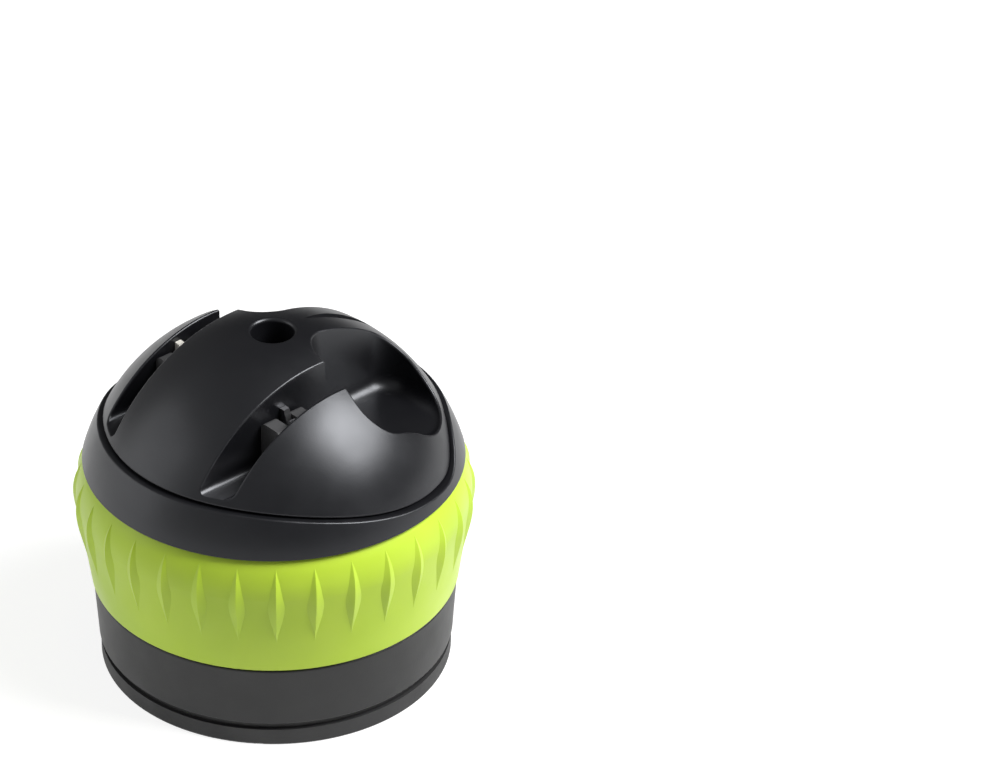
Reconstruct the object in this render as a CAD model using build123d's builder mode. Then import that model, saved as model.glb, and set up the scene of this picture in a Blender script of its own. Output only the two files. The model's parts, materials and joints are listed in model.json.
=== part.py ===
from build123d import *
from math import cos, hypot, isclose, radians, sin, sqrt, tan
import os

# Manual knife sharpener: a suction foot, a twist ring that pulls the suction cup up, and a domed
# cap with two knife slots. Millimetres, +Z up. The origin is at the middle of the foot's underside.
# The slots run along X, the knife's handle is at the +X end, and Y = 0 is the cap's mirror plane.

# Clearances
seam_gap = 0.25
parting_gap = 0.3
running_gap = 0.3
shaft_gap = 0.08
seat_gap = 0.05

# Outside radii: the base's top edge, and the steps from it to the foot, the ring and the cap
base_top_radius = 31.05
base_taper = 0.75
foot_inset = 0.25
ring_step = 0.25
waist_flare = 1.05
belly_flare = 2.05
shoulder_flare = 1.45
top_flare = 0.15
cap_flare = 0.9

# Suction cup
foot_width = 5.8
foot_height = 3.2
foot_edge = 0.5
boss_radius = 8.0
boss_bottom = 1.2
boss_top = 4.6
membrane_thickness = 1.2
membrane_outer_bottom = 1.0
membrane_rise = 0.9

# Base shell
groove_height = 1.3
groove_depth = 0.9
base_edge = 0.4
base_top = 15.95
base_wall = 2.2
floor_bottom = 8.2
floor_thickness = 2.0
spigot_inset = 2.6
spigot_wall = 2.4
spigot_rise = 1.8

# Guide column, lift stem and cross pin
stem_radius = 5.0
stem_bottom = 1.8
stem_over_pin = 2.9
stem_lift = 3.0
column_wall = 1.9
column_flange_radius = 13.0
column_flange_thickness = 2.0
column_plug_thickness = 6.5
column_screw_circle = 10.5
column_screw_count = 3
pin_radius = 1.4
pin_length = 20.4
pin_over_web = 3.9

# Twist ring and its cam
lock_angle = 90.0
ring_height = 22.45
waist_rise = 7.6
belly_drop = 6.95
shoulder_drop = 2.45
ring_wall = 2.6
ring_web_thickness = 1.8
ring_web_bore = 8.0
ring_lip_inset = 5.3
ring_lip_thickness = 1.8
ring_edge = 0.3
glide_thickness = 1.6
glide_width = 2.2
rib_count = 32
rib_phase = 5.0
rib_start_rise = 4.0
rib_middle_rise = 9.3
rib_crown_drop = 7.4
rib_end_drop = 1.35
rib_width = 2.5
rib_middle_height = 0.3
rib_height = 0.62
rib_depth = 1.3
cam_wall = 3.2
cam_flange_radius = 15.5
cam_flange_thickness = 1.4
cam_screw_circle = 13.0
cam_screw_count = 3
cam_run_in = 13.0

# Domed cap: a collar on one ball and a dome on a slightly smaller one, parted by a wave
cap_drop = 9.3
dome_inset = 1.3
dome_raise = 1.5
cap_wall = 2.2
collar_height = 7.3
collar_low_height = 2.0
collar_web_thickness = 1.35
collar_hub_radius = 6.0
hub_rise = 5.1
wave_start_inset = 3.2
wave_trough_x = 13.5
wave_end_inset = 6.7
lip_round = 0.3

# Knife slots, the scooped pockets at their handle end, the screw well and the mark on the crown
slot_offset = 13.5
slot_width = 5.0
slot_rise = 1.0
slot_floor_round = 1.2
slot_wall = 1.6
slot_floor_thickness = 1.7
pocket_drop = 1.0
pocket_start = 1.9
pocket_end_inset = 6.6
pocket_inner = 4.6
pocket_outer_inset = 4.9
pocket_corner = 4.8
pocket_far_corner = 7.6
pocket_floor_round = 2.5
well_radius = 3.6
well_edge = 0.6
hub_wall = 1.9
hub_floor_thickness = 2.5
mark_start = 7.0
mark_end_inset = 4.4
mark_width = 2.0
mark_depth = 0.6

# Cutters, with heights above the slot's floor
cutter_x = -8.0
holder_length = 8.0
holder_height = 8.3
plate_seat = 1.8
plate_height = 7.5
plate_thickness = 1.2
plate_gap = 0.2
notch_depth = 4.0
notch_angle = 40.0
notch_relief = 1.0

# Screws: shank and head radius, head height, length under the head
central_screw_radius = 2.0
central_screw_head = (2.9, 2.8)
central_screw_length = 12.0
small_screw_radius = 1.0
small_screw_head = (1.8, 1.2)
column_screw_length = 3.6
cam_screw_length = 2.6
cutter_screw_length = 3.0
screw_head_round = 0.4
screw_tip = 0.3
socket_width = 1.0
socket_depth = 0.7

# Worked-out radii
base_low_radius = base_top_radius - base_taper
foot_radius = base_low_radius - foot_inset
foot_bore = foot_radius - foot_width
spigot_radius = base_top_radius - spigot_inset
ring_bottom_radius = base_top_radius + ring_step
ring_waist_radius = ring_bottom_radius + waist_flare
ring_belly_radius = ring_bottom_radius + belly_flare
ring_shoulder_radius = ring_bottom_radius + shoulder_flare
ring_top_radius = ring_bottom_radius + top_flare
ring_bore = spigot_radius + running_gap
ring_lip_radius = ring_bottom_radius - ring_lip_inset
upper_glide_radius = ring_lip_radius + glide_width + running_gap
column_bore = stem_radius + shaft_gap
column_radius = column_bore + column_wall
cam_bore = column_radius + running_gap
cam_radius = cam_bore + cam_wall
cap_edge_radius = ring_bottom_radius + cap_flare
cap_radius = hypot(cap_edge_radius, cap_drop)
dome_radius = cap_radius - dome_inset
crest_radius = sqrt(dome_radius**2 - (cap_drop + collar_height - dome_raise) ** 2)
hub_radius = well_radius + hub_wall
reach = 2 * cap_radius

# Worked-out heights
floor_top = floor_bottom + floor_thickness
spigot_top = base_top + spigot_rise
ring_bottom = base_top + seam_gap
ring_top = ring_bottom + ring_height
ring_waist_height = ring_bottom + waist_rise
ring_belly_height = ring_top - belly_drop
ring_shoulder_height = ring_top - shoulder_drop
rib_bottom = ring_bottom + rib_start_rise
rib_middle = ring_bottom + rib_middle_rise
rib_crown = ring_top - rib_crown_drop
rib_top = ring_top - rib_end_drop
web_bottom = spigot_top + glide_thickness + running_gap
web_top = web_bottom + ring_web_thickness
cam_flange_top = web_top + cam_flange_thickness
pin_height = web_top + pin_over_web
stem_top = pin_height + stem_over_pin
cap_bottom = ring_top + seam_gap
cap_centre = cap_bottom - cap_drop
dome_centre = cap_centre + dome_raise
column_top = cap_bottom
column_bore_top = column_top - column_plug_thickness
upper_glide_bottom = cap_bottom - glide_thickness
lip_top = upper_glide_bottom - running_gap
lip_bottom = lip_top - ring_lip_thickness
collar_web_top = cap_bottom + collar_web_thickness
hub_seat = cap_bottom + hub_rise
well_bottom = hub_seat + hub_floor_thickness
wave_crest = cap_bottom + collar_height
wave_trough = cap_bottom + collar_low_height
slot_floor = wave_crest + slot_rise
pocket_floor = slot_floor - pocket_drop
slot_underside = slot_floor - slot_floor_thickness
pocket_underside = pocket_floor - slot_floor_thickness
holder_top = slot_floor + holder_height
plate_bottom = slot_floor + plate_seat
plate_top = plate_bottom + plate_height
notch_bottom = plate_top - notch_depth

# Worked-out places on the cap, and slopes
pocket_end = crest_radius - pocket_end_inset
pocket_middle = (pocket_start + pocket_end) / 2
pocket_outer = crest_radius - pocket_outer_inset
mark_end = crest_radius - mark_end_inset
wave_start = wave_start_inset - cap_edge_radius
wave_end = cap_edge_radius - wave_end_inset
ramp_at_rest = pin_height - pin_radius - running_gap / 2
ramp_slope = stem_lift / lock_angle
ramp_sweep = lock_angle + 2 * cam_run_in
cam_top = ramp_at_rest + ramp_slope * (lock_angle + cam_run_in) + pin_radius
notch_slope = tan(radians(notch_angle / 2))
sides = {"front": -1, "rear": 1}

os.makedirs("parts", exist_ok=True)


def save(builder, label):
    """Label a finished piece and write it as its own file."""
    builder.part.label = label
    export_step(builder.part, f"parts/{label}.step")


def circle_points(radius, count, height):
    """Points evenly spaced on a level circle about the axis, half a step from X."""
    angles = [radians((i + 0.5) * 360 / count) for i in range(count)]
    return [(radius * cos(angle), radius * sin(angle), height) for angle in angles]


def wall_radius(outline, height):
    """The radius at which an outline drawn as radius and height reaches a height."""
    return outline.find_intersection_points(Axis((0, height, 0), (1, 0, 0)))[0].X


def ball(centre, radius, bottom):
    """A solid cap of a ball with its centre at that height on the axis, from a flat bottom up."""
    with BuildPart() as cap:
        with BuildSketch(Plane.XZ):
            with Locations((0, centre)):
                Circle(radius)
            with Locations((0, bottom)):
                Rectangle(reach, reach, align=(Align.MIN, Align.MIN), mode=Mode.INTERSECT)
        revolve(axis=Axis.Z)
    return cap.part


def lips(edges, centre, radius):
    """Those edges that lie on a ball, away from its crown and from the ball's own seam."""
    middle = Vector(0, 0, centre)
    on_ball = [edge for edge in edges if isclose((edge @ 0.5 - middle).length, radius, abs_tol=seat_gap)]
    return [edge for edge in on_ball if abs((edge @ 0.5).Y) > well_radius]


def slot_block(side, grow, floor):
    """A knife slot's space, from the open end to inside its pocket, widened by grow on each side."""
    with BuildPart() as block:
        with BuildSketch(Plane.YZ.offset(pocket_middle)):
            with Locations((side * slot_offset, floor)):
                outline = Rectangle(slot_width + 2 * grow, reach, align=(Align.CENTER, Align.MIN))
            fillet(outline.vertices().group_by(Axis.Z)[0], slot_floor_round)
        extrude(amount=-reach)
    return block.part


def pocket_block(side, grow, floor):
    """A scooped pocket's space at the handle end of a slot, widened by grow all round."""
    length = pocket_end - pocket_start + 2 * grow
    width = pocket_outer - pocket_inner + 2 * grow
    with BuildPart() as block:
        with BuildSketch(Plane.XY.offset(floor)) as footprint:
            with Locations((pocket_middle, side * (pocket_inner + pocket_outer) / 2)):
                Rectangle(length, width)
            outwards = Axis((0, 0, 0), (1, side, 0))
            fillet(footprint.vertices().sort_by(outwards)[:-1], pocket_corner + grow)
            fillet(footprint.vertices().sort_by(outwards)[-1], pocket_far_corner + grow)
        extrude(amount=reach)
        fillet(block.faces().sort_by(Axis.Z)[0].edges(), pocket_floor_round)
    return block.part


def above_wave(drop):
    """Everything above the wave that parts the dome from the collar, lowered by drop."""
    crest = wave_crest - drop
    level = ((1, 0), (1, 0))
    with BuildPart() as space:
        with BuildSketch(Plane.XZ):
            with BuildLine():
                Line((-reach, crest), (wave_start, crest))
                falling = Spline((wave_start, crest), (wave_trough_x, wave_trough - drop), tangents=level)
                rising = Spline(falling @ 1, (wave_end, crest), tangents=level)
                Line(rising @ 1, (reach, crest))
                Polyline((reach, crest), (reach, reach), (-reach, reach), (-reach, crest))
            make_face()
        extrude(amount=reach, both=True)
    return space.part


def ramp_space():
    """The space over one of the cam's helical ramps, which starts at X and climbs the right-hand way."""
    ramp_bottom = ramp_at_rest - ramp_slope * cam_run_in
    with BuildPart() as space:
        with BuildLine(Plane.XY.offset(ramp_bottom)) as ramp_line:
            Helix(pitch=ramp_slope * 360, height=ramp_slope * ramp_sweep, radius=(cam_bore + cam_radius) / 2)
        ramp_path = ramp_line.wire()
        with BuildSketch(Plane(origin=ramp_path @ 0, x_dir=(1, 0, 0), z_dir=ramp_path % 0)):
            Rectangle(2 * cam_wall, 2 * cam_wall, align=(Align.CENTER, Align.MAX))
        sweep(path=ramp_path, is_frenet=True)
    return space.part


def screw(radius, head, length):
    """A pan-head screw with its seat at the origin, shank down, and a cross recess."""
    head_radius, head_height = head
    with BuildPart() as body:
        Cylinder(head_radius, head_height, align=(Align.CENTER, Align.CENTER, Align.MIN))
        fillet(body.edges().group_by(Axis.Z)[-1], screw_head_round)
        with Locations((0, 0, head_height - socket_depth)):
            for size in ((head_radius, socket_width), (socket_width, head_radius)):
                Box(*size, head_height, align=(Align.CENTER, Align.CENTER, Align.MIN), mode=Mode.SUBTRACT)
        Cylinder(radius, length, align=(Align.CENTER, Align.CENTER, Align.MAX))
        chamfer(body.edges().group_by(Axis.Z)[0], screw_tip)
    return body.part


# Suction cup: a rubber rim that the sharpener stands on, a thin membrane and a thick centre
with BuildPart() as suction_cup_rim:
    with BuildSketch():
        Circle(foot_radius)
        Circle(foot_bore, mode=Mode.SUBTRACT)
    extrude(amount=foot_height)
    outer_edge = suction_cup_rim.edges().group_by(Axis.Z)[0].sort_by(SortBy.RADIUS)[-1]
    fillet(outer_edge, foot_edge)
save(suction_cup_rim, "suction_cup_rim")

with BuildPart() as suction_cup_membrane:
    membrane_inner = boss_radius + shaft_gap
    membrane_outer = foot_bore - shaft_gap
    membrane_inner_bottom = membrane_outer_bottom + membrane_rise
    with BuildSketch(Plane.XZ):
        with BuildLine():
            Polyline(
                (membrane_inner, membrane_inner_bottom),
                (membrane_outer, membrane_outer_bottom),
                (membrane_outer, membrane_outer_bottom + membrane_thickness),
                (membrane_inner, membrane_inner_bottom + membrane_thickness),
                close=True,
            )
        make_face()
    revolve(axis=Axis.Z)
save(suction_cup_membrane, "suction_cup_membrane")

with BuildPart() as suction_cup_boss:
    with BuildSketch(Plane.XY.offset(boss_bottom)):
        Circle(boss_radius)
    extrude(amount=boss_top - boss_bottom)
    with BuildSketch(Plane.XY.offset(stem_bottom)):
        Circle(stem_radius + seat_gap)
    extrude(amount=boss_top - stem_bottom, mode=Mode.SUBTRACT)
save(suction_cup_boss, "suction_cup_boss")

# Lift stem and its cross pin
with BuildPart() as lift_stem:
    with BuildSketch(Plane.XY.offset(stem_bottom)):
        Circle(stem_radius)
    extrude(amount=stem_top - stem_bottom)
    chamfer(lift_stem.edges().group_by(Axis.Z)[-1], shaft_gap + seam_gap)
    with BuildSketch(Plane.YZ):
        with Locations((0, pin_height)):
            Circle(pin_radius + seat_gap)
    extrude(amount=reach, both=True, mode=Mode.SUBTRACT)
save(lift_stem, "lift_stem")

with BuildPart() as cross_pin:
    with BuildSketch(Plane.YZ):
        with Locations((0, pin_height)):
            Circle(pin_radius)
    extrude(amount=pin_length / 2, both=True)
    chamfer(cross_pin.edges().filter_by(GeomType.CIRCLE), shaft_gap + seam_gap)
save(cross_pin, "cross_pin")

# Base shell: a skirt, a floor over the suction cup and a spigot that the ring turns on
with BuildPart() as base_shell:
    groove_top = foot_height + groove_height
    groove_radius = base_low_radius - groove_depth
    spigot_inner = spigot_radius - spigot_wall
    with BuildSketch(Plane.XZ):
        with BuildLine():
            Polyline(
                (stem_radius + running_gap, floor_bottom),
                (groove_radius - base_wall, floor_bottom),
                (groove_radius - base_wall, foot_height),
                (groove_radius, foot_height),
                (groove_radius, groove_top),
                (base_low_radius, groove_top),
                (base_top_radius, base_top),
                (spigot_radius, base_top),
                (spigot_radius, spigot_top),
                (spigot_inner, spigot_top),
                (spigot_inner, floor_top),
                (stem_radius + running_gap, floor_top),
                close=True,
            )
        make_face()
    revolve(axis=Axis.Z)
    for height in (groove_top, base_top):
        level_edges = base_shell.edges().filter_by_position(Axis.Z, height, height)
        fillet(level_edges.sort_by(SortBy.RADIUS)[-1], base_edge)
    with Locations(*circle_points(column_screw_circle, column_screw_count, floor_bottom)):
        Cylinder(
            small_screw_radius + seat_gap,
            floor_thickness,
            align=(Align.CENTER, Align.CENTER, Align.MIN),
            mode=Mode.SUBTRACT,
        )
save(base_shell, "base_shell")

# Guide column: a tube on the floor, slotted for the cross pin, with a plug for the central screw
with BuildPart() as guide_column:
    with BuildSketch(Plane.XY.offset(floor_top)):
        Circle(column_flange_radius)
    extrude(amount=column_flange_thickness)
    with BuildSketch(Plane.XY.offset(floor_top)):
        Circle(column_radius)
    extrude(amount=column_top - floor_top)
    with BuildSketch(Plane.XY.offset(floor_top)):
        Circle(column_bore)
    extrude(amount=column_bore_top - floor_top, mode=Mode.SUBTRACT)
    with BuildSketch(Plane.XY.offset(column_bore_top)):
        Circle(central_screw_radius + seat_gap)
    extrude(amount=column_plug_thickness, mode=Mode.SUBTRACT)
    with BuildSketch(Plane.YZ):
        with Locations((0, pin_height + stem_lift / 2)):
            SlotCenterToCenter(stem_lift, 2 * (pin_radius + running_gap), rotation=90)
    extrude(amount=reach, both=True, mode=Mode.SUBTRACT)
    with Locations(*circle_points(column_screw_circle, column_screw_count, floor_top)):
        Cylinder(
            small_screw_radius + seat_gap,
            column_flange_thickness,
            align=(Align.CENTER, Align.CENTER, Align.MIN),
            mode=Mode.SUBTRACT,
        )
save(guide_column, "guide_column")

# The column's screws come up through the floor, so they are turned head down
with BuildPart() as column_screws:
    for place in circle_points(column_screw_circle, column_screw_count, floor_bottom):
        with Locations(Location(place, (180, 0, 0))):
            add(screw(small_screw_radius, small_screw_head, column_screw_length))
save(column_screws, "column_screws")

# Glide rings that the twist ring runs between
with BuildPart() as lower_glide_ring:
    with BuildSketch(Plane.XY.offset(spigot_top)):
        Circle(spigot_radius)
        Circle(spigot_radius - glide_width, mode=Mode.SUBTRACT)
    extrude(amount=glide_thickness)
save(lower_glide_ring, "lower_glide_ring")

with BuildPart() as upper_glide_ring:
    with BuildSketch(Plane.XY.offset(upper_glide_bottom)):
        Circle(upper_glide_radius)
        Circle(ring_lip_radius + running_gap, mode=Mode.SUBTRACT)
    extrude(amount=glide_thickness)
save(upper_glide_ring, "upper_glide_ring")

# The twist ring's outer wall, as radius and height: a tapering flank and a rounded shoulder
with BuildLine() as ring_outline:
    ring_flank = ThreePointArc(
        (ring_bottom_radius, ring_bottom),
        (ring_waist_radius, ring_waist_height),
        (ring_belly_radius, ring_belly_height),
    )
    ring_shoulder = ThreePointArc(
        (ring_belly_radius, ring_belly_height),
        (ring_shoulder_radius, ring_shoulder_height),
        (ring_top_radius, ring_top),
    )

# One grip rib: a roof swept along a curve that rises slowly out of the wall and dives back near the top
with BuildPart() as rib:
    with BuildLine(Plane.XZ):
        rib_path = Spline(
            (wall_radius(ring_flank, rib_bottom), rib_bottom),
            (wall_radius(ring_flank, rib_middle) + rib_middle_height, rib_middle),
            (wall_radius(ring_flank, rib_crown) + rib_height, rib_crown),
            (wall_radius(ring_shoulder, rib_top), rib_top),
        )
    rib_half_base = rib_width / 2 * rib_depth / rib_height
    with BuildSketch(Plane(origin=rib_path @ 0, x_dir=(0, 1, 0), z_dir=rib_path % 0)):
        with BuildLine():
            Polyline((0, 0), (rib_half_base, rib_depth), (-rib_half_base, rib_depth), close=True)
        make_face()
    sweep(path=rib_path)

with BuildPart() as twist_ring:
    with BuildSketch(Plane.XZ):
        with BuildLine():
            add(ring_outline.line)
            Polyline(
                (ring_top_radius, ring_top),
                (upper_glide_radius + running_gap, ring_top),
                (upper_glide_radius + running_gap, lip_top),
                (ring_lip_radius, lip_top),
                (ring_lip_radius, lip_bottom),
                (ring_belly_radius - rib_depth - ring_wall, lip_bottom),
                (ring_belly_radius - rib_depth - ring_wall, web_top),
                (ring_web_bore, web_top),
                (ring_web_bore, web_bottom),
                (ring_bore, web_bottom),
                (ring_bore, ring_bottom),
                (ring_bottom_radius, ring_bottom),
            )
        make_face()
    revolve(axis=Axis.Z)
    for end in (0, -1):
        fillet(twist_ring.edges().group_by(Axis.Z)[end].sort_by(SortBy.RADIUS)[-1], ring_edge)
    with PolarLocations(0, rib_count, start_angle=rib_phase):
        add(rib.part)
    with Locations(*circle_points(cam_screw_circle, cam_screw_count, web_top)):
        Cylinder(
            small_screw_radius + seat_gap,
            cam_screw_length - cam_flange_thickness,
            align=(Align.CENTER, Align.CENTER, Align.MAX),
            mode=Mode.SUBTRACT,
        )
save(twist_ring, "twist_ring")

# Cam sleeve: two helical ramps under the cross pin's ends, each between two stops
with BuildPart() as cam_sleeve:
    with BuildSketch(Plane.XY.offset(web_top)):
        Circle(cam_flange_radius)
    extrude(amount=cam_flange_thickness)
    with BuildSketch(Plane.XY.offset(web_top)):
        Circle(cam_radius)
    extrude(amount=cam_top - web_top)
    with BuildSketch(Plane.XY.offset(web_top)):
        Circle(cam_bore)
    extrude(amount=cam_top - web_top, mode=Mode.SUBTRACT)
    with Locations(*circle_points(cam_screw_circle, cam_screw_count, web_top)):
        Cylinder(
            small_screw_radius + seat_gap,
            cam_flange_thickness,
            align=(Align.CENTER, Align.CENTER, Align.MIN),
            mode=Mode.SUBTRACT,
        )
    with PolarLocations(0, 2, start_angle=-cam_run_in):
        add(ramp_space(), mode=Mode.SUBTRACT)
save(cam_sleeve, "cam_sleeve")

with BuildPart() as cam_screws:
    with Locations(*circle_points(cam_screw_circle, cam_screw_count, cam_flange_top)):
        add(screw(small_screw_radius, small_screw_head, cam_screw_length))
save(cam_screws, "cam_screws")

# Collar: the cap's lower band, with a web over the ring and a hub under the dome
with BuildPart() as collar_hollow:
    add(ball(cap_centre, cap_radius - cap_wall, collar_web_top))
    with BuildSketch(Plane.XY.offset(collar_web_top)):
        Circle(collar_hub_radius)
    extrude(amount=hub_seat - collar_web_top, mode=Mode.SUBTRACT)

with BuildPart() as cap_collar:
    add(ball(cap_centre, cap_radius, cap_bottom))
    add(above_wave(parting_gap), mode=Mode.SUBTRACT)
    fillet(lips(cap_collar.edges(), cap_centre, cap_radius), lip_round)
    add(collar_hollow.part, mode=Mode.SUBTRACT)
    with BuildSketch(Plane.XY.offset(cap_bottom)):
        Circle(central_screw_radius + seat_gap)
    extrude(amount=hub_seat - cap_bottom, mode=Mode.SUBTRACT)
save(cap_collar, "cap_collar")

# The dome's hollow inside: its ball less the walls of the slots, the pockets and the screw hub
with BuildPart() as dome_hollow:
    add(ball(dome_centre, dome_radius - cap_wall, collar_web_top))
    for side in sides.values():
        add(slot_block(side, slot_wall, slot_underside), mode=Mode.SUBTRACT)
        add(pocket_block(side, slot_wall, pocket_underside), mode=Mode.SUBTRACT)
    with BuildSketch(Plane.XY.offset(hub_seat)):
        Circle(hub_radius)
    extrude(amount=reach, mode=Mode.SUBTRACT)

# The mark on the crown: a shallow groove, pointed at both ends
with BuildPart() as mark:
    mark_middle = (mark_start + mark_end) / 2
    with BuildSketch(Plane.XY.offset(dome_centre)):
        with BuildLine():
            for half_width in (mark_width / 2, -mark_width / 2):
                ThreePointArc((mark_start, 0), (mark_middle, half_width), (mark_end, 0))
        make_face()
    extrude(amount=reach)
    add(ball(dome_centre, dome_radius - mark_depth, collar_web_top), mode=Mode.SUBTRACT)

# Dome: the cap's upper part, with its slots, pockets, screw well and mark
with BuildPart() as dome:
    add(ball(dome_centre, dome_radius, collar_web_top))
    for side in sides.values():
        add(slot_block(side, 0, slot_floor), mode=Mode.SUBTRACT)
        add(pocket_block(side, 0, pocket_floor), mode=Mode.SUBTRACT)
    fillet(lips(dome.edges(), dome_centre, dome_radius), lip_round)
    add(above_wave(0), mode=Mode.INTERSECT)
    fillet(lips(dome.edges(Select.NEW), dome_centre, dome_radius), lip_round)
    with BuildSketch(Plane.XY.offset(well_bottom)):
        Circle(well_radius)
    extrude(amount=reach, mode=Mode.SUBTRACT)
    fillet(dome.edges().sort_by(Axis.Z)[-1], well_edge)
    add(mark.part, mode=Mode.SUBTRACT)
    add(dome_hollow.part, mode=Mode.SUBTRACT)
    with BuildSketch(Plane.XY.offset(hub_seat)):
        Circle(central_screw_radius + seat_gap)
    extrude(amount=well_bottom - hub_seat, mode=Mode.SUBTRACT)
    with Locations(*[(cutter_x, side * slot_offset, slot_underside) for side in sides.values()]):
        Cylinder(
            small_screw_radius + seat_gap,
            slot_floor_thickness,
            align=(Align.CENTER, Align.CENTER, Align.MIN),
            mode=Mode.SUBTRACT,
        )
save(dome, "dome")

# Central screw, down the well through the dome and the collar into the column
with BuildPart() as central_screw:
    with Locations((0, 0, well_bottom)):
        add(screw(central_screw_radius, central_screw_head, central_screw_length))
save(central_screw, "central_screw")


def cutter_holder(side):
    """A block in a slot with a V for the blade and a gap across it for two cutter plates."""
    holder_width = slot_width - 2 * seat_gap
    relief_bottom = notch_bottom - notch_relief
    half_mouth = (holder_top - relief_bottom) * notch_slope
    with BuildPart() as holder:
        with BuildSketch(Plane.YZ.offset(cutter_x)):
            with Locations((side * slot_offset, slot_floor)):
                outline = Rectangle(holder_width, holder_top - slot_floor, align=(Align.CENTER, Align.MIN))
            fillet(outline.vertices().group_by(Axis.Z)[0], slot_floor_round)
            with Locations((side * slot_offset, 0)):
                with BuildLine():
                    Polyline(
                        (0, relief_bottom), (half_mouth, holder_top), (-half_mouth, holder_top), close=True
                    )
                make_face(mode=Mode.SUBTRACT)
        extrude(amount=holder_length / 2, both=True)
        with Locations((cutter_x, side * slot_offset, plate_bottom)):
            Box(
                2 * plate_thickness + 2 * plate_gap,
                slot_width,
                holder_top,
                align=(Align.CENTER, Align.CENTER, Align.MIN),
                mode=Mode.SUBTRACT,
            )
        with Locations((cutter_x, side * slot_offset, slot_floor)):
            Cylinder(
                small_screw_radius + seat_gap,
                cutter_screw_length - slot_floor_thickness + seat_gap,
                align=(Align.CENTER, Align.CENTER, Align.MIN),
                mode=Mode.SUBTRACT,
            )
    return holder


def cutter_plate(side, hand):
    """One of two plates that cross at the bottom of the V. Its sloped edge is the cutting edge."""
    wall = slot_width / 2 - seat_gap
    edge_top = (plate_top - notch_bottom) * notch_slope
    edge_bottom = (notch_bottom - plate_bottom) * notch_slope
    near_face = cutter_x + hand * plate_gap / 2
    with BuildPart() as plate:
        with BuildSketch(Plane.YZ.offset(near_face)):
            with BuildLine():
                Polyline(
                    (side * slot_offset + hand * wall, plate_bottom),
                    (side * slot_offset - hand * edge_bottom, plate_bottom),
                    (side * slot_offset + hand * edge_top, plate_top),
                    (side * slot_offset + hand * wall, plate_top),
                    close=True,
                )
            make_face()
        extrude(amount=hand * plate_thickness)
    return plate


# Cutters: carbide plates in the front slot for shaping, ceramic plates in the rear one for honing
for place, side in sides.items():
    save(cutter_holder(side), f"{place}_cutter_holder")
    kind = "carbide" if place == "front" else "ceramic"
    for hand_name, hand in (("right", -1), ("left", 1)):
        save(cutter_plate(side, hand), f"{kind}_plate_{hand_name}")

with BuildPart() as cutter_screws:
    for side in sides.values():
        with Locations(Location((cutter_x, side * slot_offset, slot_underside), (180, 0, 0))):
            add(screw(small_screw_radius, small_screw_head, cutter_screw_length))
save(cutter_screws, "cutter_screws")
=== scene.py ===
import bpy
import json
import math
from mathutils import Matrix, Vector


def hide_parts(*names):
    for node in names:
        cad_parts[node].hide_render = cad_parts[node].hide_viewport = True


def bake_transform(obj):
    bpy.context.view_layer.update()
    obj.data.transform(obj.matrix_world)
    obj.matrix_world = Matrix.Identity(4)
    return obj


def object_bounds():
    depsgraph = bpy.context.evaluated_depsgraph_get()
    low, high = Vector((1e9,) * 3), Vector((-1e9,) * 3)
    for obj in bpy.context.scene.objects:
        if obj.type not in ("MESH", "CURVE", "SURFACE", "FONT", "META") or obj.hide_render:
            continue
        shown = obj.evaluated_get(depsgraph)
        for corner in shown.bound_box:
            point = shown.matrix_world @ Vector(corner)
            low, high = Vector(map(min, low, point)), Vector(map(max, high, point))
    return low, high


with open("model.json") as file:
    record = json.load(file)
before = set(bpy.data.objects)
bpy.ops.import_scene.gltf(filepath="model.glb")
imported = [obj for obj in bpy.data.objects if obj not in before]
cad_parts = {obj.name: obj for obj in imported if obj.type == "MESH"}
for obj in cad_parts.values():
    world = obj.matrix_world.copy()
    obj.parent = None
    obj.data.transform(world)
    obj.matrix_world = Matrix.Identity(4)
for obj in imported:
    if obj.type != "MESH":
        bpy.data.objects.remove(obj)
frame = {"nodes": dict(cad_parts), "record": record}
cad_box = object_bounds()
nodes = frame["nodes"]
collection = bpy.context.scene.collection

MM = 0.001
WHITE = (1, 1, 1, 1)

# Camera, as fitted to the photograph
PHOTO_WIDTH = 1000
FOCAL_PIXELS = 5000
SENSOR_WIDTH = 36.0
CLIP_START = 10 * MM
CAMERA_PLACE = (-450.75 * MM, -537.18 * MM, 503.22 * MM)
CAMERA_RIGHT = (0.73589, -0.67701, 0.0129)
CAMERA_UP = (0.35904, 0.40626, 0.8403)

# Surface detail that all finishes share: waves to the metre, and the noise's layers of detail.
# The noise's values lie mostly between NOISE_LOW and NOISE_HIGH.
DRIFT_SCALE, DRIFT_DETAIL = 45, 2
SMEAR_SCALE, SMEAR_DETAIL = 160, 4
GRAIN_DETAIL = 2
NOISE_LOW, NOISE_HIGH = 0.3, 0.7

# Where along the pointiness an edge starts to look rubbed and looks most rubbed, and how far its
# colour then goes towards the rubbed one
RUB_START, RUB_END = 0.52, 0.62
RUB_SHARE = 0.6

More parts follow.
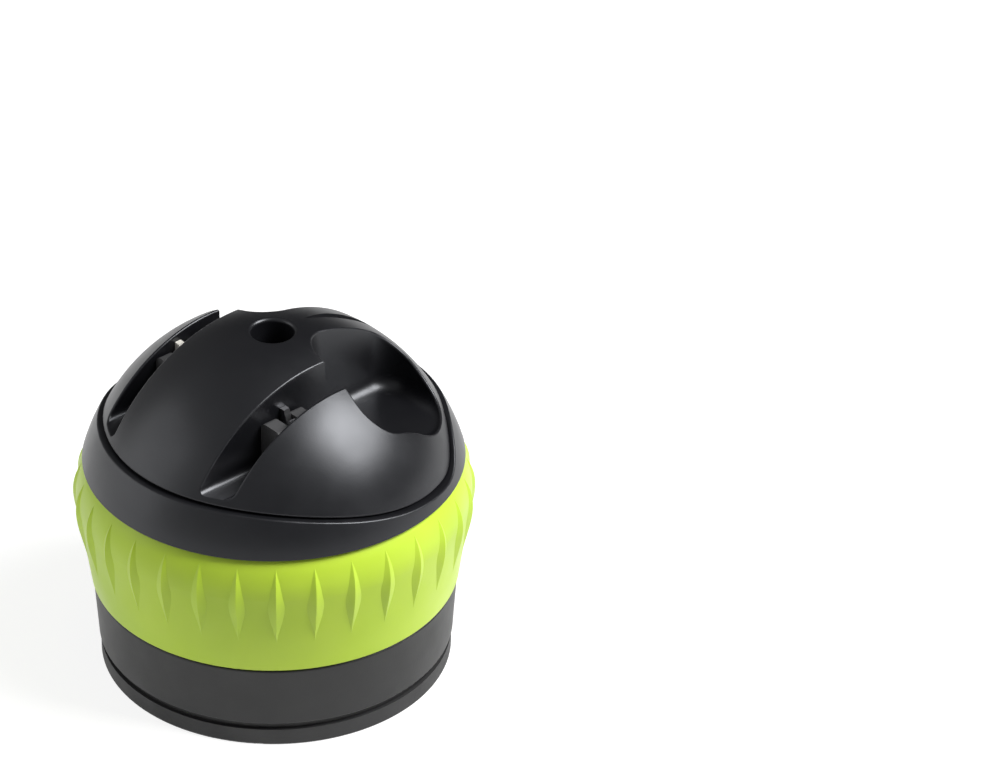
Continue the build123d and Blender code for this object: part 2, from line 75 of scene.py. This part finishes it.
# Finishes: two colours that drift into each other, the least and most roughness, and the grain's
# waves to the metre and height. Some have a colour for rubbed edges, or a grain drawn out one way.
FINISHES = {
    "lime_plastic": {
        "colours": ((0.47, 0.67, 0.04), (0.54, 0.73, 0.06)),
        "roughness": (0.32, 0.42), "grain": (2600, 0.006 * MM), "specular": 0.35,
    },
    "black_plastic": {
        "colours": ((0.0042, 0.0043, 0.0055), (0.0056, 0.0057, 0.0070)),
        "roughness": (0.33, 0.39), "grain": (3000, 0.005 * MM),
        "rub": (0.016, 0.016, 0.018), "specular": 0.58,
    },
    "grey_plastic": {
        "colours": ((0.012, 0.012, 0.0125), (0.016, 0.016, 0.0165)),
        "roughness": (0.44, 0.52), "grain": (2200, 0.01 * MM),
        "rub": (0.035, 0.035, 0.035), "specular": 0.42,
    },
    "rubber": {
        "colours": ((0.022, 0.022, 0.023), (0.028, 0.028, 0.028)),
        "roughness": (0.50, 0.66), "grain": (1400, 0.015 * MM), "specular": 0.4,
    },
    "acetal": {
        "colours": ((0.72, 0.71, 0.66), (0.78, 0.77, 0.73)),
        "roughness": (0.35, 0.45), "grain": (1800, 0.006 * MM),
    },
    "holder_plastic": {
        "colours": ((0.05, 0.05, 0.052), (0.065, 0.065, 0.067)),
        "roughness": (0.45, 0.55), "grain": (2200, 0.01 * MM),
    },
    "steel": {
        "colours": ((0.50, 0.50, 0.49), (0.58, 0.58, 0.57)),
        "roughness": (0.24, 0.36), "grain": (1800, 0.004 * MM), "stretch": (1, 1, 0.1),
    },
    "carbide": {
        "colours": ((0.26, 0.26, 0.27), (0.32, 0.32, 0.33)),
        "roughness": (0.28, 0.40), "grain": (4000, 0.004 * MM), "stretch": (1, 0.08, 1),
    },
    "ceramic": {
        "colours": ((0.72, 0.69, 0.62), (0.80, 0.78, 0.72)),
        "roughness": (0.55, 0.70), "grain": (5000, 0.006 * MM),
    },
}

# Shader sockets that only some finishes set
EXTRAS = {
    "lime_plastic": {
        "Subsurface Weight": 0.12,
        "Subsurface Radius": (1.0, 1.0, 0.3),
        "Subsurface Scale": 1.5 * MM,
    },
    "black_plastic": {"Specular Tint": (0.93, 0.95, 1.0, 1)},
    "steel": {"Metallic": 1.0},
    "carbide": {"Metallic": 1.0},
}

# The suction cup's membrane: a thin cone, in sectors
MEMBRANE_INNER = 8.08 * MM
MEMBRANE_OUTER = 24.17 * MM
MEMBRANE_OUTER_BOTTOM = 1.0 * MM
MEMBRANE_RISE = 0.9 * MM
MEMBRANE_THICKNESS = 1.2 * MM
MEMBRANE_SECTORS = 16
SECTOR_STEPS = 4
RADIAL_STEPS = 12

# Lamps, in degrees, metres and watts
LAMPS = {
    "key": {"azimuth": 38, "elevation": 48, "distance": 0.7, "size": 0.40, "power": 8.3},
    "fill": {"azimuth": -132, "elevation": 20, "distance": 0.9, "size": 0.7, "power": 1.8},
}

# Floor: white where it is seen, and for bounced light a white sheet on a darker table
FLOOR_SIZE = 6.0
FLOOR_SHADE = 0.35
FLOOR_ROUGHNESS = 0.9
FLOOR_GLOW = 0.82
SHEET_AZIMUTH = -155
SHEET_OFFSET = 80 * MM
SHEET_INNER = 105 * MM
SHEET_OUTER = 185 * MM
SHEET_SHADE = 0.8
TABLE_SHADE = 0.12

# World: brighter towards one side
SKY_LOW = 0.06
SKY_HIGH = 0.45
SKY_AZIMUTH = -115
SKY_ELEVATION = 20


def new_material(name):
    """A node material, with its tree and its shader."""
    material = bpy.data.materials.new(name)
    material.use_nodes = True
    tree = material.node_tree
    return material, tree, tree.nodes["Principled BSDF"]


def new_object(name, data):
    """An object in the scene."""
    item = bpy.data.objects.new(name, data)
    collection.objects.link(item)
    return item


def add_node(tree, kind, inputs, **properties):
    """A node with its properties set, and its inputs, by name or number, set or linked."""
    node = tree.nodes.new(kind)
    for key, value in properties.items():
        setattr(node, key, value)
    for key, value in inputs.items():
        if isinstance(value, bpy.types.NodeSocket):
            tree.links.new(value, node.inputs[key])
        else:
            node.inputs[key].default_value = value
    return node


def noise(tree, coordinates, scale, detail, stretch=(1, 1, 1)):
    """A noise pattern with this many waves to the metre, stretched along the axes."""
    mapped = add_node(tree, "ShaderNodeMapping", {"Vector": coordinates, "Scale": stretch})
    inputs = {"Vector": mapped.outputs["Vector"], "Scale": scale, "Detail": detail}
    return add_node(tree, "ShaderNodeTexNoise", inputs).outputs["Fac"]


def mapped_range(tree, value, low, high, start=NOISE_LOW, end=NOISE_HIGH):
    """A value spread from low to high as the input goes from start to end."""
    inputs = {"Value": value, "From Min": start, "From Max": end, "To Min": low, "To Max": high}
    return add_node(tree, "ShaderNodeMapRange", inputs).outputs["Result"]


def mix_colours(tree, factor, first, second):
    """A colour between two, by a factor. A mix node has its colours at inputs 6 and 7, output 2."""
    inputs = {"Factor": factor, 6: first, 7: second}
    return add_node(tree, "ShaderNodeMix", inputs, data_type="RGBA").outputs[2]


def opaque(colour):
    """A colour with full alpha."""
    return (*colour, 1)


def finish_material(name, colours, roughness, grain, rub=None, specular=0.5, stretch=(1, 1, 1)):
    """A moulded or ground solid: a colour that drifts a little, uneven gloss and a fine grain."""
    material, tree, shader = new_material(name)
    place = tree.nodes.new("ShaderNodeTexCoord").outputs["Object"]
    drift = noise(tree, place, DRIFT_SCALE, DRIFT_DETAIL)
    first, second = colours
    colour = mix_colours(tree, mapped_range(tree, drift, 0, 1), opaque(first), opaque(second))
    if rub:
        sharp = tree.nodes.new("ShaderNodeNewGeometry").outputs["Pointiness"]
        rubbed = mapped_range(tree, sharp, 0, RUB_SHARE, RUB_START, RUB_END)
        colour = mix_colours(tree, rubbed, colour, opaque(rub))
    tree.links.new(colour, shader.inputs["Base Color"])
    smear = noise(tree, place, SMEAR_SCALE, SMEAR_DETAIL)
    tree.links.new(mapped_range(tree, smear, *roughness), shader.inputs["Roughness"])
    grain_scale, grain_height = grain
    height = noise(tree, place, grain_scale, GRAIN_DETAIL, stretch)
    relief = {"Height": height, "Strength": 1.0, "Distance": grain_height}
    bump = add_node(tree, "ShaderNodeBump", relief)
    tree.links.new(bump.outputs["Normal"], shader.inputs["Normal"])
    shader.inputs["Specular IOR Level"].default_value = specular
    for key, value in EXTRAS.get(name, {}).items():
        shader.inputs[key].default_value = value
    return material


def membrane_mesh(index):
    """The closed mesh of one sector of the membrane's cone."""
    step = 2 * math.pi / MEMBRANE_SECTORS
    angles = [step * (index + i / SECTOR_STEPS) for i in range(SECTOR_STEPS + 1)]
    shares = [i / RADIAL_STEPS for i in range(RADIAL_STEPS + 1)]
    points, faces = [], []
    for lift in (0, MEMBRANE_THICKNESS):
        for share in shares:
            radius = MEMBRANE_OUTER + (MEMBRANE_INNER - MEMBRANE_OUTER) * share
            height = MEMBRANE_OUTER_BOTTOM + MEMBRANE_RISE * share + lift
            points += [(radius * math.cos(a), radius * math.sin(a), height) for a in angles]
    row = SECTOR_STEPS + 1
    layer = row * (RADIAL_STEPS + 1)
    for i in range(RADIAL_STEPS):
        for j in range(SECTOR_STEPS):
            corner = i * row + j
            square = (corner, corner + 1, corner + row + 1, corner + row)
            faces.append(square)
            faces.append(tuple(layer + k for k in reversed(square)))
    border = list(range(row))
    border += [i * row + SECTOR_STEPS for i in range(1, RADIAL_STEPS + 1)]
    border += [RADIAL_STEPS * row + j for j in reversed(range(SECTOR_STEPS))]
    border += [i * row for i in reversed(range(1, RADIAL_STEPS))]
    for first, second in zip(border, border[1:] + border[:1]):
        faces.append((second, first, layer + first, layer + second))
    mesh = bpy.data.meshes.new("membrane_sector")
    mesh.from_pydata(points, [], faces)
    return mesh


def membrane_sector(index, material):
    """One sector of the membrane, which follows the rim outside and the lift inside."""
    sector = new_object(f"membrane_sector_{index:02d}", membrane_mesh(index))
    sector.data.materials.append(material)
    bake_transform(sector)
    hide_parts("suction_cup_membrane")


def towards(azimuth, elevation, distance):
    """A step of that length. Azimuth 0 is towards -Y and 90 towards +X."""
    a, e = math.radians(azimuth), math.radians(elevation)
    return Vector((math.sin(a) * math.cos(e), -math.cos(a) * math.cos(e), math.sin(e))) * distance


def softbox(name, azimuth, elevation, distance, size, power):
    """A square area lamp that faces the middle of the object."""
    lamp = bpy.data.lights.new(name, "AREA")
    lamp.size = size
    lamp.energy = power
    stand = new_object(name, lamp)
    middle = (cad_box[0] + cad_box[1]) / 2
    stand.location = middle + towards(azimuth, elevation, distance)
    stand.rotation_mode = "QUATERNION"
    stand.rotation_quaternion = (middle - stand.location).to_track_quat("-Z", "Y")


def floor_material():
    """White with the object's shadow, to the camera and in reflections. Other light bounces off a
    white sheet that fades into a darker table."""
    material, tree, shader = new_material("floor")
    shader.inputs["Base Color"].default_value = opaque((FLOOR_SHADE,) * 3)
    shader.inputs["Roughness"].default_value = FLOOR_ROUGHNESS
    shader.inputs["Emission Color"].default_value = WHITE
    shader.inputs["Emission Strength"].default_value = FLOOR_GLOW
    place = tree.nodes.new("ShaderNodeTexCoord").outputs["Object"]
    ends = {0: place, 1: towards(SHEET_AZIMUTH, 0, SHEET_OFFSET)}
    distance = add_node(tree, "ShaderNodeVectorMath", ends, operation="DISTANCE")
    fade = mapped_range(tree, distance.outputs["Value"], 0, 1, SHEET_INNER, SHEET_OUTER)
    colour = mix_colours(tree, fade, opaque((SHEET_SHADE,) * 3), opaque((TABLE_SHADE,) * 3))
    bounce = add_node(tree, "ShaderNodeBsdfDiffuse", {"Color": colour})
    rays = tree.nodes.new("ShaderNodeLightPath").outputs
    seen = rays["Is Camera Ray"]
    for kind in ("Is Glossy Ray", "Is Transmission Ray"):
        pair = {0: seen, 1: rays[kind]}
        seen = add_node(tree, "ShaderNodeMath", pair, operation="MAXIMUM").outputs[0]
    choice = {0: seen, 1: bounce.outputs["BSDF"], 2: shader.outputs["BSDF"]}
    either = add_node(tree, "ShaderNodeMixShader", choice)
    tree.links.new(either.outputs["Shader"], tree.nodes["Material Output"].inputs["Surface"])
    return material


# Each CAD node gets its slot's material
materials = {slot: finish_material(slot, **finish) for slot, finish in FINISHES.items()}
for subpart in frame["record"]["subparts"]:
    mesh = nodes[subpart["node"]].data
    mesh.materials.clear()
    mesh.materials.append(materials[subpart["material_slot"]])

for index in range(MEMBRANE_SECTORS):
    membrane_sector(index, materials["rubber"])

# Stage: soft lamps, the floor and the world
for name, settings in LAMPS.items():
    softbox(name, **settings)

floor_mesh = bpy.data.meshes.new("floor")
half = FLOOR_SIZE / 2
corners = [(-half, -half, 0), (half, -half, 0), (half, half, 0), (-half, half, 0)]
floor_mesh.from_pydata(corners, [], [(0, 1, 2, 3)])
floor_mesh.materials.append(floor_material())
floor = new_object("floor", floor_mesh)

world = bpy.data.worlds.new("studio")
bpy.context.scene.world = world
world.use_nodes = True
sky = world.node_tree
direction = sky.nodes.new("ShaderNodeTexCoord").outputs["Generated"]
sides = {0: direction, 1: towards(SKY_AZIMUTH, SKY_ELEVATION, 1)}
facing = add_node(sky, "ShaderNodeVectorMath", sides, operation="DOT_PRODUCT")
strength = mapped_range(sky, facing.outputs["Value"], SKY_LOW, SKY_HIGH, 0.0, 1.0)
sky.links.new(strength, sky.nodes["Background"].inputs["Strength"])
sky.nodes["Background"].inputs["Color"].default_value = WHITE

# Camera
camera_data = bpy.data.cameras.new("camera")
camera_data.sensor_width = SENSOR_WIDTH
camera_data.lens = SENSOR_WIDTH * FOCAL_PIXELS / PHOTO_WIDTH
camera_data.clip_start = CLIP_START
camera = new_object("camera", camera_data)
right, up = Vector(CAMERA_RIGHT), Vector(CAMERA_UP)
turn = Matrix((right, up, right.cross(up))).transposed().to_4x4()
camera.matrix_world = Matrix.Translation(CAMERA_PLACE) @ turn
bpy.context.scene.camera = camera
bpy.context.scene.view_settings.view_transform = "Standard"
